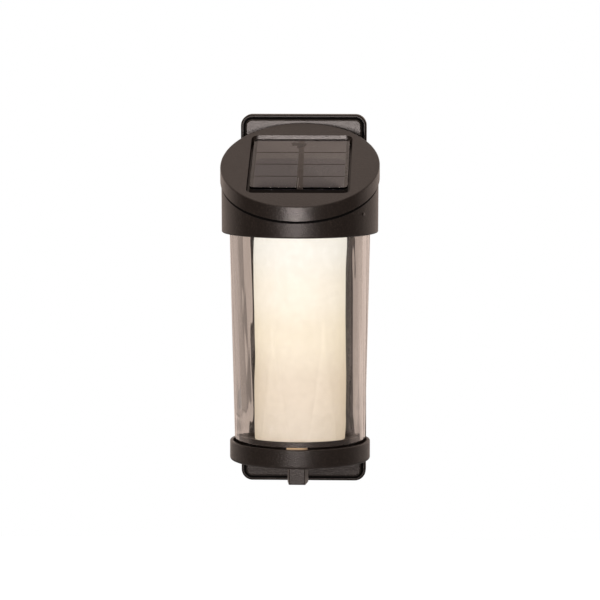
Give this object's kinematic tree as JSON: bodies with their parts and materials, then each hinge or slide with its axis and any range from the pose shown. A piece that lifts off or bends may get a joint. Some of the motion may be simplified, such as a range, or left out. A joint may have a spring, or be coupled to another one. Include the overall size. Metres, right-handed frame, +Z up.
{
  "type": "fence light",
  "caption": "Solar fence light: slant-topped round lantern with a clear shade round a lit candle sleeve, on a tall back plate with an arm and ring.",
  "frame": {"origin": "on the fence's face, midway between the bracket's two screw holes", "axes": "+Z up, -Y out of the fence towards the viewer, +X to the viewer's right"},
  "size_m": [0.1112, 0.1266, 0.265],
  "materials": {
    "bronze_plastic": "fine grained dark bronze",
    "black_plastic": "satin black",
    "white_plastic": "satin white",
    "zinc_steel": "zinc plated",
    "screw_steel": "zinc plated",
    "clear_shade": "clear, polished",
    "ivory_candle": "warm ivory, lit from inside",
    "soft_rubber": "soft black",
    "panel_board": "dark laminate",
    "solar_cells": "dark silicon",
    "panel_window": "clear cast cover",
    "battery_sleeve": "printed sleeve",
    "contact_metal": "nickel plated spring steel",
    "circuit_board": "green laminate",
    "board_parts": "moulded",
    "warm_led": "clear warm dome",
    "wire_red": "PVC insulation",
    "wire_black": "PVC insulation"
  },
  "bodies": {
    "bracket": {"fence_bracket": "zinc_steel"},
    "lantern": {"back_plate": "bronze_plastic", "plate_cover": "bronze_plastic", "cover_screws": "screw_steel", "arm_and_ring": "bronze_plastic", "arm_screws": "screw_steel", "tray_foot": "bronze_plastic", "base_tray": "bronze_plastic", "tray_screws": "screw_steel", "clear_shade": "clear_shade", "candle_sleeve": "ivory_candle"},
    "head": {"shade_gasket": "soft_rubber", "collar": "bronze_plastic", "head_lid": "bronze_plastic", "head_screws": "screw_steel", "panel_seal": "soft_rubber", "panel_board": "panel_board", "solar_cells": "solar_cells", "panel_window": "panel_window", "deck": "black_plastic", "battery": "battery_sleeve", "battery_contacts": "contact_metal", "battery_cover": "black_plastic", "battery_cover_screws": "screw_steel", "control_board": "circuit_board", "board_parts": "board_parts", "board_screws": "screw_steel", "led_board": "circuit_board", "led_dome": "warm_led", "switch_body": "black_plastic", "panel_leads": "wire_red", "battery_leads": "wire_black", "led_leads": "wire_red"},
    "knob": {"switch_knob": "white_plastic"}
  },
  "joints": [
    {"name": "hang_slide", "type": "slide", "parent": "bracket", "child": "lantern", "axis": [0, 0, 1], "range_m": [0, 0.01]},
    {"name": "twist_lock", "type": "hinge", "parent": "lantern", "child": "head", "pos_m": [0, -0.071, 0.0556], "axis": [0, 0, 1], "range_deg": [0, 20]},
    {"name": "switch_slide", "type": "slide", "parent": "head", "child": "knob", "axis": [1, 0, 0], "range_m": [0, 0.003]}
  ]
}
